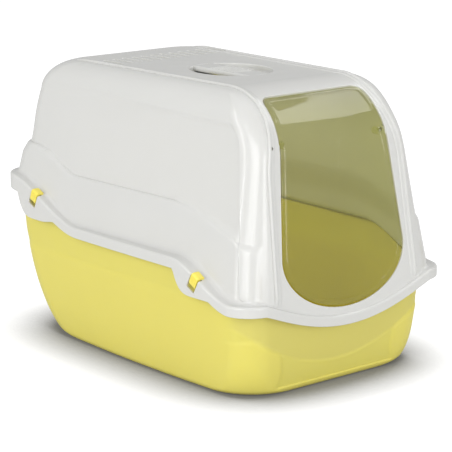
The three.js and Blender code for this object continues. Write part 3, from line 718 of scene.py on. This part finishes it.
def plate_rings(levels, fill=14):
    """Rings of a curved plate: levels is a list of (grow, off) from the upper centre round to the lower."""
    loop = door_loop()
    upper = spread_in(grown(loop, levels[0][0]), fill)
    lower = spread_in(grown(loop, levels[-1][0]), fill)
    rings = [on_profile(ring, levels[0][1]) for ring in reversed(upper)]
    rings += [on_profile(grown(loop, grow), off) for grow, off in levels]
    rings += [on_profile(ring, levels[-1][1]) for ring in lower]
    return rings


def door_plate(name, levels, material=None):
    rings = plate_rings(levels)
    start = rings[0].mean(axis=0)
    end = rings[-1].mean(axis=0)
    start[1], start[2] = profile(195, levels[0][1])
    end[1], end[2] = profile(195, levels[-1][1])
    return loft(name, rings, material, start, end)


def make_door():
    bead = [(-9.4, 0.0), (-8.8, 0.12), (-8.0, 0.55), (-7.0, 0.75), (-6.0, 0.55), (-5.2, 0.12), (-4.6, 0.0)]
    edge = [(-0.9, -0.05), (-0.35, -0.3), (0, -0.9), (0, -DOOR_T + 0.6), (-0.5, -DOOR_T)]
    top = [(grow, off - 0.8) for grow, off in bead]
    rim = [(grow, off - 0.75) for grow, off in edge[:2]] + edge[2:]
    door = door_plate("swing_door_panel", top + rim + [(-5, -DOOR_T), (-12, -DOOR_T)], TINT)
    for side in (-1, 1):
        ear = rod("ear", 5, (side * 84, PIVOT_Y, PIVOT_Z), (side * 88, PIVOT_Y, PIVOT_Z))
        web = rounded_box("web", (min(side * 84, side * 88), PIVOT_Y - 8.8, PIVOT_Z - 5),
                          (max(side * 84, side * 88), PIVOT_Y, PIVOT_Z + 1), 0.5)
        pin = rod("pin", PIN_R, (side * 84.5, PIVOT_Y, PIVOT_Z), (side * 104, PIVOT_Y, PIVOT_Z), edge=0.5)
        for extra in (ear, web, pin):
            combine(door, extra, "UNION")
    finish_shading(door, 40)
    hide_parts("swing_door")
    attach(door, "door")
    return door


# ---------------------------------------------------------------- hood
def oval_ring(x, y, half_x, half_y, z, count=96):
    turn = np.linspace(0, 2 * math.pi, count, endpoint=False)
    return np.stack([x + half_x * np.cos(turn), y + half_y * np.sin(turn), np.full(count, float(z))], -1)


def bowl(name, y, half_x, half_y, floor, top, fillet, flare):
    """Oval cutter with a rounded floor edge and a rounded mouth at height top."""
    rings = []
    for turn in np.linspace(0, math.pi / 2, 6):
        inset = fillet * (1 - math.sin(turn))
        rings.append(oval_ring(0, y, half_x - inset, half_y - inset, floor + fillet * (1 - math.cos(turn))))
    for turn in np.linspace(0, math.pi / 2, 5):
        out = flare * (1 - math.cos(turn))
        rings.append(oval_ring(0, y, half_x + out, half_y + out, top - flare + flare * math.sin(turn)))
    rings.append(oval_ring(0, y, half_x + flare, half_y + flare, top + 8))
    return loft(name, rings, None)


def slot_cutter(x):
    """A vent slot with round ends and a chamfered mouth."""
    rings = []
    for grow, z in ((0, ROOF_Z - 8), (0, ROOF_Z - 0.9), (0.9, ROOF_Z + 0.02), (0.9, ROOF_Z + 5)):
        r = VENT_W / 2 + grow
        straight = VENT_L / 2 - VENT_W / 2
        turn = np.linspace(0, math.pi, 9)
        far = np.stack([x + r * np.cos(turn), VENT_Y + straight + r * np.sin(turn)], -1)
        near = np.stack([x - r * np.cos(turn), VENT_Y - straight - r * np.sin(turn)], -1)
        loop = np.vstack([far, near])
        rings.append(np.column_stack([loop, np.full(len(loop), z)]))
    return loft("slot", rings, None)


def latch_places():
    """Name, side, hinge place and tilt of each latch, as on the CAD model."""
    reach = LENGTH / 2 - RIM_CORNER_R
    for side, side_name in ((-1, "left"), (1, "right")):
        for y, end_name in zip(LATCH_Y, ("front", "rear")):
            tilt = math.atan((side_rim(y + 1) - side_rim(y - 1)) / 2)
            t = (y + reach) / (2 * reach)
            x = WIDTH / 2 - SIDE_BULGE + SIDE_BULGE * 4 * t * (1 - t) - LATCH_HINGE_IN
            hinge = Vector((side * x, y + LATCH_HINGE_DOWN * math.sin(tilt),
                            side_rim(y) - LATCH_HINGE_DOWN * math.cos(tilt)))
            yield f"latch_{end_name}_{side_name}", side, hinge * MM, tilt


def latch_matrix(side, hinge, tilt):
    turn = Matrix.Rotation(0 if side > 0 else math.pi, 4, "Z")
    return Matrix.Translation(hinge) @ Matrix.Rotation(tilt, 4, "X") @ turn


def make_hood():
    hood = hood_shell()
    for side in (-1, 1):
        combine(hood, ridge(side), "UNION")

    floor = ROOF_Z - HANDLE_DEPTH
    cup = loft("cup", [oval_ring(0, HANDLE_Y, HANDLE_HALF_X + WALL - r, HANDLE_HALF_Y + WALL - r, z)
                       for r, z in ((4, floor - WALL), (1.2, floor - WALL + 1), (0, floor + 1.5),
                                    (0, ROOF_Z - 1))], None)
    combine(hood, cup, "UNION")
    combine(hood, bowl("dish", HANDLE_Y, HANDLE_HALF_X, HANDLE_HALF_Y, floor, ROOF_Z, 4, 1.6), "DIFFERENCE")
    combine(hood, bowl("fingers", HANDLE_Y, FINGER_HALF_X, FINGER_HALF_Y, floor - 8, floor + 0.5, 0.2, 1),
            "DIFFERENCE")
    bar = rounded_box("bar", (-BAR_HALF, HANDLE_Y - HANDLE_HALF_Y - 2, ROOF_Z - BAR_T),
                      (BAR_HALF, HANDLE_Y + HANDLE_HALF_Y + 2, ROOF_Z - 0.1), 3.4, steps=5)
    combine(hood, bar, "UNION")
    for i in range(9):
        y = HANDLE_Y + (i - 4) * 6.5
        rib = rounded_box("grip_rib", (-BAR_HALF + 4, y - 1.2, ROOF_Z - 1),
                          (BAR_HALF - 4, y + 1.2, ROOF_Z + 0.6), 0.6)
        combine(hood, rib, "UNION")

    gap = DOOR_GAP
    opening = door_plate("opening", [(gap + 0.8, 14), (gap + 0.8, 0.3), (gap + 0.45, -0.1), (gap + 0.1, -0.5),
                                     (gap, -1.0), (gap, -14)])
    combine(hood, opening, "DIFFERENCE")
    for i in range(VENTS):
        combine(hood, slot_cutter((i - (VENTS - 1) / 2) * VENT_PITCH), "DIFFERENCE")
    half = LATCH_HALF_W + 1.4
    for _, side, hinge, tilt in latch_places():
        window = rounded_box("window", (-1, -half, -6.5), (14, half, LATCH_HINGE_DOWN + 8), 1.6)
        combine(hood, transformed(window, latch_matrix(side, hinge, tilt)), "DIFFERENCE")

    for side in (-1, 1):
        low, high = sorted((side * 97, side * 108))
        boss = rod("boss", 6, (low, PIVOT_Y, PIVOT_Z), (high, PIVOT_Y, PIVOT_Z))
        web = rounded_box("web", (low, PIVOT_Y - 9.6, PIVOT_Z - 5), (high, PIVOT_Y, PIVOT_Z + 2), 0.6)
        combine(hood, boss, "UNION")
        combine(hood, web, "UNION")
        combine(hood, rod("bore", PIN_R + 0.6, (low - 2, PIVOT_Y, PIVOT_Z), (high + 2, PIVOT_Y, PIVOT_Z),
                          edge=0.01), "DIFFERENCE")
        if side < 0:
            combine(hood, rod("hole", 2.2, (-112, PIVOT_Y - 27, PIVOT_Z), (-112, PIVOT_Y - 1.5, PIVOT_Z),
                              sides=24, edge=0.01), "DIFFERENCE")
        x = side * 100.5
        rib = rounded_box("rib", (x - 1.5, 107, ROOF_Z - 16), (x + 1.5, 159, ROOF_Z - 1), 0.5)
        combine(hood, rib, "UNION")
    finish_shading(hood, 38)
    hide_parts("hood_shell")
    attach(hood, "hood")
    return hood


# ---------------------------------------------------------------- tray
def tray_shape(z, inset):
    z = np.asarray(z, float)

    def curve_in(height):
        down = np.clip(1 - z / height, 0, 1)
        return 1 - np.sqrt(1 - down * down)

    foot = FOOT_ROUND * curve_in(FOOT_ROUND) + inset
    blend = np.minimum(1, np.maximum(0, z) / 150) ** 0.7
    front_r = lerp(FOOT_FRONT_R, RIM_CORNER_R, blend) - inset + FRONT_BALL_MORE * curve_in(FRONT_BALL_H)
    rear_r = lerp(FOOT_REAR_R, RIM_CORNER_R, blend) - inset
    return {"half": TRAY_HALF - SIDE_BULGE + z * 0.075 - foot, "front": TRAY_FRONT_Y - z * 0.13 + foot,
            "rear": TRAY_REAR_Y + z * 0.05 - REAR_ROUND_IN * curve_in(REAR_ROUND_H) - foot,
            "frx": front_r, "fry": front_r, "rrx": rear_r, "rry": rear_r, "bulge": SIDE_BULGE}


def tray_relief(x, y, z):
    """How far the tray's wall is drawn in: the panel under the front rim, the foot pads, the side line."""
    front = smooth(205, 245, -y)
    bow = 30 + 38 * (x / 130) ** 2
    under_rim = 2.2 * smooth(0, 7, z - bow) * front
    pad = 1.6 * smooth(0, 5, np.hypot(np.abs(x) - 150, z - 36) - 45) * front * smooth(-8, 2, bow - z)
    line = 1.0 * smooth(0, 6, z - 125) * (1 - front) * smooth(-260, -200, y)
    return under_rim + pad + line


def tray_ring(z, inset, relief):
    z = np.broadcast_to(np.asarray(z, float), AROUND[0].shape)
    x, y = outline(tray_shape(z, inset))
    if relief:
        x, y = outline(tray_shape(z, inset + tray_relief(x, y, z)))
    return np.stack([x, y, z], -1)


def make_tray():
    top = 3 + RIM_GAP
    wall_top = on_rim(lambda z: tray_shape(z, 0), top + LIP_T + 3)
    rings = [tray_ring(0, 0, False)]
    for turn in np.linspace(0, math.pi / 2, 8)[1:]:
        rings.append(tray_ring(FOOT_ROUND * (1 - math.cos(turn)), 0, False))
    rings.insert(1, tray_ring(0.02, 0, False))
    for t in np.linspace(0, 1, 56)[1:]:
        rings.append(tray_ring(lerp(FOOT_ROUND, wall_top[:, 2], t), 0, True))
    under = on_rim(lambda z: tray_shape(z, -3), top + LIP_T)
    lip_in = on_rim(lambda z: skirt_shape(LIP_IN + LIP_T), top + LIP_T)
    rings += bezier(rings[-1], on_rim(lambda z: tray_shape(z, 0), top + LIP_T), under, 2)
    rings += [under, lerp(under, lip_in, 0.6)]
    lip_out = LIP_IN + LIP_T
    for inset, drop in ((lip_out, LIP_T + 1.2), (lip_out, LIP_H - 0.8), (lip_out - 0.8, LIP_H),
                        (LIP_IN + 0.8, LIP_H), (LIP_IN, LIP_H - 0.8), (LIP_IN, 1.8), (LIP_IN + 0.5, 0.6),
                        (LIP_IN + 1.8, 0)):
        rings.append(on_rim(lambda z: skirt_shape(inset), top + drop))
    inner_edge = on_rim(lambda z: tray_shape(z, 1.2), top)
    rings += [lerp(rings[-1], inner_edge, 0.6), inner_edge]
    in_top = on_rim(lambda z: tray_shape(z, WALL), top + 2)
    rings.append(in_top)
    floor_round = 14
    for t in np.linspace(0, 1, 22)[1:]:
        rings.append(tray_ring(lerp(in_top[:, 2], floor_round + WALL, t), WALL, False))
    for turn in np.linspace(0, math.pi / 2, 7)[1:]:
        z = WALL + floor_round * (1 - math.sin(turn))
        x, y = outline(tray_shape(np.full(AROUND[0].shape, z), WALL + 5 * (1 - math.cos(turn))))
        rings.append(np.stack([x, y, np.full(AROUND[0].shape, z)], -1))
    tray = loft("base_tray_skin", rings, YELLOW)
    inner = LATCH_HALF_W + 0.5
    for _, side, hinge, tilt in latch_places():
        for low in (-inner - 4, inner):
            ear = rounded_box("ear", (-4.6, low, -3.6), (2.6, low + 4, 8), 0.7)
            bore = rod("bore", 1.8, (0, low - 1, 0), (0, low + 5, 0), sides=20, edge=0.01)
            combine(ear, bore, "DIFFERENCE")
            combine(tray, transformed(ear, latch_matrix(side, hinge, tilt)), "UNION")
    finish_shading(tray, 38)
    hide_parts("base_tray")
    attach(tray, "tray")
    return tray


# ---------------------------------------------------------------- latches
LATCH_SECTION = [
    (0.4, -1.6), (2.6, -1.5), (4.6, -0.8), (6.1, 0.7), (7, 2.4), (7.35, 6), (7.5, 10), (7.6, 14),
    (7.3, 16), (6.6, 17.2), (5, 18.1), (3, 18.4), (-1, 18.3), (-4.3, 18.0), (-4.8, 17.4), (-4.8, 15.9),
    (-4.3, 15.5), (-1, 15.5), (1.6, 15.5), (2.9, 14.8), (3.4, 13), (3.2, 8), (3.0, 1.8)]


def make_latch(name, side, hinge, tilt):
    section = np.array(LATCH_SECTION)
    centre = section.mean(axis=0)
    half = LATCH_HALF_W
    rings = []
    away = section - centre
    away /= np.linalg.norm(away, axis=1, keepdims=True)
    for y, shrink in ((-half, 0.6), (-half + 0.25, 0.2), (-half + 0.7, 0),
                      (half - 0.7, 0), (half - 0.25, 0.2), (half, 0.6)):
        flat = section - away * shrink
        rings.append(np.column_stack([flat[:, 0], np.full(len(flat), y), flat[:, 1]]))
    latch = loft(name + "_clip", rings, CLIP)
    barrel = rod("barrel", 2.6, (0, -half, 0), (0, half, 0), edge=0.4)
    pin = rod("pin", 1.4, (0, -half - 3.4, 0), (0, half + 3.4, 0), sides=20, edge=0.3)
    combine(latch, barrel, "UNION")
    combine(latch, pin, "UNION")
    for i in range(4):
        y = (i - 1.5) * 3.1
        groove = rounded_box("groove", (7.0, y - 0.5, 3.4), (9, y + 0.5, 15.2), 0.3, steps=2)
        combine(latch, groove, "DIFFERENCE")
    transformed(latch, latch_matrix(side, hinge, tilt))
    finish_shading(latch, 35)
    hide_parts(name)
    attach(latch, name)
    return latch


# ---------------------------------------------------------------- filter cassette
def make_filter():
    low, high = (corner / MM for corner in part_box("filter_grille"))
    grille = rounded_box("filter_grille_plate", low, high, 0.5, FILTER_YELLOW)
    bars = 26
    pitch = (high.x - low.x - 10) / bars
    for i in range(bars):
        x = low.x + 5 + (i + 0.5) * pitch
        for y0, y1 in ((low.y + 8, (low.y + high.y) / 2 - 2), ((low.y + high.y) / 2 + 2, high.y - 8)):
            cut = rounded_box("cut", (x - 1.1, y0, low.z - 2), (x + 1.1, y1, high.z + 2), 0.8, steps=2)
            combine(grille, cut, "DIFFERENCE")
    finish_shading(grille)
    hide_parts("filter_grille")
    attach(grille, "filter")

    low, high = (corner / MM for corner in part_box("carbon_filter"))
    pad = fleece_pad(low, high)
    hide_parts("carbon_filter")
    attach(pad, "filter")

    low, high = (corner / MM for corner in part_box("filter_tray"))
    tray = rounded_box("filter_tray_frame", low, high, 1.2, FILTER_YELLOW)
    hollow = rounded_box("hollow", (low.x + 2, low.y + 2, low.z + 2),
                         (high.x - 2, high.y - 2, high.z + 9), 0.6)
    combine(tray, hollow, "DIFFERENCE")
    for i in range(18):
        x = lerp(low.x + 12, high.x - 12, i / 17)
        cut = rounded_box("cut", (x - 2.6, low.y + 9, low.z - 2), (x + 2.6, high.y - 9, low.z + 4),
                          1.2, steps=2)
        combine(tray, cut, "DIFFERENCE")
    finish_shading(tray)
    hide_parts("filter_tray")
    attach(tray, "filter")


def fleece_pad(low, high):
    """Carbon fleece pad: a thin block whose faces are slightly lumpy and whose edges are soft."""
    nx, ny = 90, 34
    u, v = np.meshgrid(np.linspace(-1, 1, nx), np.linspace(-1, 1, ny))
    x = lerp(low.x, high.x, (u + 1) / 2)
    y = lerp(low.y, high.y, (v + 1) / 2)
    edge = np.minimum(1 - np.abs(u), (1 - np.abs(v)) * 0.36) * (high.x - low.x) / 2
    soft = np.sqrt(1 - (1 - np.clip(edge / 2.5, 0, 1)) ** 2)
    lumps = 0.16 * (np.sin(x * 1.9 + 2 * np.sin(y * 0.7)) + np.sin(y * 2.3 + 1.7 * np.sin(x * 0.9)))
    middle, half = (low.z + high.z) / 2, (high.z - low.z) / 2
    up = middle + (half - 0.34 + lumps) * (0.35 + 0.65 * soft)
    down = middle - (half - 0.34 - lumps) * (0.35 + 0.65 * soft)
    points = np.concatenate([np.stack([x, y, z], -1).reshape(-1, 3) for z in (up, down)])
    index = np.arange(nx * ny).reshape(ny, nx)
    quads = np.stack([index[:-1, :-1], index[:-1, 1:], index[1:, 1:], index[1:, :-1]], -1).reshape(-1, 4)
    faces = quads.tolist() + (quads[:, ::-1] + nx * ny).tolist()
    border = np.concatenate([index[0, :-1], index[:-1, -1], index[-1, :0:-1], index[:0:-1, 0]])
    after = np.roll(border, -1)
    faces += np.stack([after, border, border + nx * ny, after + nx * ny], -1).tolist()
    pad = new_object("carbon_filter_pad", points, faces, CARBON)
    face_outwards(pad)
    pad.data.shade_smooth()
    return pad


# ---------------------------------------------------------------- stage, lights, camera
FLOOR_HALF = 14
# Light that the floor gives off: what falls on the object, and what the camera sees.
FLOOR_GLOW, FLOOR_SEEN = 0.5, 0.95
# The painted contact shadow, drawn into the floor's glow: its reach in metres, the side it leans to, and the
# range it is drawn from.
SHADOW_REACH, SHADOW_LEAN = 0.14, (0.50, 0.60, 0.625)
SHADOW_FROM, SHADOW_TO, SHADOW_DARKEST = 0.44, 0.86, 0.06
WORLD_GLOW, WORLD_SEEN = 0.5, 1.0
CAMERA_AZIMUTH, CAMERA_ELEVATION = math.radians(-39.91), math.radians(13.29)
CAMERA_TARGET, CAMERA_DISTANCE, CAMERA_LENS = (0.00917, -0.00767, 0.1726), 2.77696, 151.43


def make_stage():
    """White glowing floor with a soft contact shadow painted into its glow by ambient occlusion."""
    corners = [(x * FLOOR_HALF, y * FLOOR_HALF, 0) for x, y in ((-1, -1), (1, -1), (1, 1), (-1, 1))]
    floor = new_object("floor", np.array(corners) / MM, [[0, 1, 2, 3]], None)
    floor.location.z = cad_low.z - 0.0002
    mat = bpy.data.materials.new("floor")
    mat.use_nodes = True
    tree = mat.node_tree
    tree.nodes.clear()
    out = node(tree, "ShaderNodeOutputMaterial")
    paint = node(tree, "ShaderNodeBsdfDiffuse")
    paint.inputs["Color"].default_value = (0.22, 0.22, 0.22, 1)
    # Painted shadow: the floor's glow is dimmed where ambient occlusion finds the object close, and a tilted
    # normal makes the shade lean to one side.
    near = node(tree, "ShaderNodeAmbientOcclusion", samples=16)
    near.inputs["Distance"].default_value = SHADOW_REACH
    near.inputs["Normal"].default_value = SHADOW_LEAN
    fall = node(tree, "ShaderNodeMapRange")
    fall.inputs["From Min"].default_value = SHADOW_FROM
    fall.inputs["From Max"].default_value = SHADOW_TO
    fall.inputs["To Min"].default_value = SHADOW_DARKEST
    fall.inputs["To Max"].default_value = 1.0
    tree.links.new(near.outputs["AO"], fall.inputs["Value"])
    path = node(tree, "ShaderNodeLightPath")
    level = node(tree, "ShaderNodeMapRange")
    level.inputs["To Min"].default_value = FLOOR_GLOW
    level.inputs["To Max"].default_value = FLOOR_SEEN
    tree.links.new(path.outputs["Is Camera Ray"], level.inputs["Value"])
    bright = node(tree, "ShaderNodeMath", operation="MULTIPLY")
    tree.links.new(fall.outputs["Result"], bright.inputs[0])
    tree.links.new(level.outputs["Result"], bright.inputs[1])
    glow = node(tree, "ShaderNodeEmission")
    glow.inputs["Color"].default_value = (1, 1, 1, 1)
    tree.links.new(bright.outputs["Value"], glow.inputs["Strength"])
    both = node(tree, "ShaderNodeAddShader")
    tree.links.new(paint.outputs["BSDF"], both.inputs[0])
    tree.links.new(glow.outputs["Emission"], both.inputs[1])
    tree.links.new(both.outputs["Shader"], out.inputs["Surface"])
    floor.data.materials.append(mat)


def softbox(name, place, target, width, height, power):
    data = bpy.data.lights.new(name, "AREA")
    data.shape = "RECTANGLE"
    data.size, data.size_y = width, height
    data.energy = power
    lamp = bpy.data.objects.new(name, data)
    lamp.location = place
    lamp.rotation_euler = (Vector(target) - Vector(place)).to_track_quat("-Z", "Y").to_euler()
    bpy.context.scene.collection.objects.link(lamp)
    return lamp


def make_lights():
    world = bpy.data.worlds.new("studio")
    world.use_nodes = True
    sky = world.node_tree.nodes["Background"]
    sky.inputs["Color"].default_value = (1, 1, 1, 1)
    path = node(world.node_tree, "ShaderNodeLightPath")
    level = node(world.node_tree, "ShaderNodeMapRange")
    level.inputs["To Min"].default_value = WORLD_GLOW
    level.inputs["To Max"].default_value = WORLD_SEEN
    world.node_tree.links.new(path.outputs["Is Camera Ray"], level.inputs["Value"])
    world.node_tree.links.new(level.outputs["Result"], sky.inputs["Strength"])
    bpy.context.scene.world = world
    middle = (0, 0, 0.2)
    softbox("left", (-2.8, -1.0, 1.2), middle, 1.8, 1.6, 40)
    softbox("front", (-0.3, -3.0, 0.9), middle, 1.5, 1.2, 28)
    softbox("left_strip", (-2.5, 0.8, 1.0), middle, 0.14, 1.9, 11)
    softbox("front_strip", (1.1, -2.4, 1.0), middle, 0.2, 1.9, 4)
    softbox("top", (0.2, 0.3, 2.6), middle, 2.4, 2.4, 8.5)
    softbox("upper_right", (1.75, -0.35, 2.05), middle, 1.9, 0.5, 10)
    # Stands in for the light that really comes through the thin hood.
    through = softbox("through_hood", (0, 0.02, 0.365), (0, 0.02, 0), 0.16, 0.3, 0.25)
    through.visible_camera = through.visible_glossy = False


def make_camera():
    level = math.cos(CAMERA_ELEVATION)
    back = Vector((math.sin(CAMERA_AZIMUTH) * level, -math.cos(CAMERA_AZIMUTH) * level,
                   math.sin(CAMERA_ELEVATION)))
    data = bpy.data.cameras.new("camera")
    data.sensor_width = 36
    data.lens = CAMERA_LENS
    camera = bpy.data.objects.new("camera", data)
    camera.location = Vector(CAMERA_TARGET) + back * CAMERA_DISTANCE
    camera.rotation_euler = (-back).to_track_quat("-Z", "Y").to_euler()
    bpy.context.scene.collection.objects.link(camera)
    bpy.context.scene.camera = camera
    bpy.context.scene.view_settings.view_transform = "Standard"


make_camera()
make_lights()
make_stage()
make_tray()
make_hood()
make_door()
for latch in latch_places():
    make_latch(*latch)
make_filter()
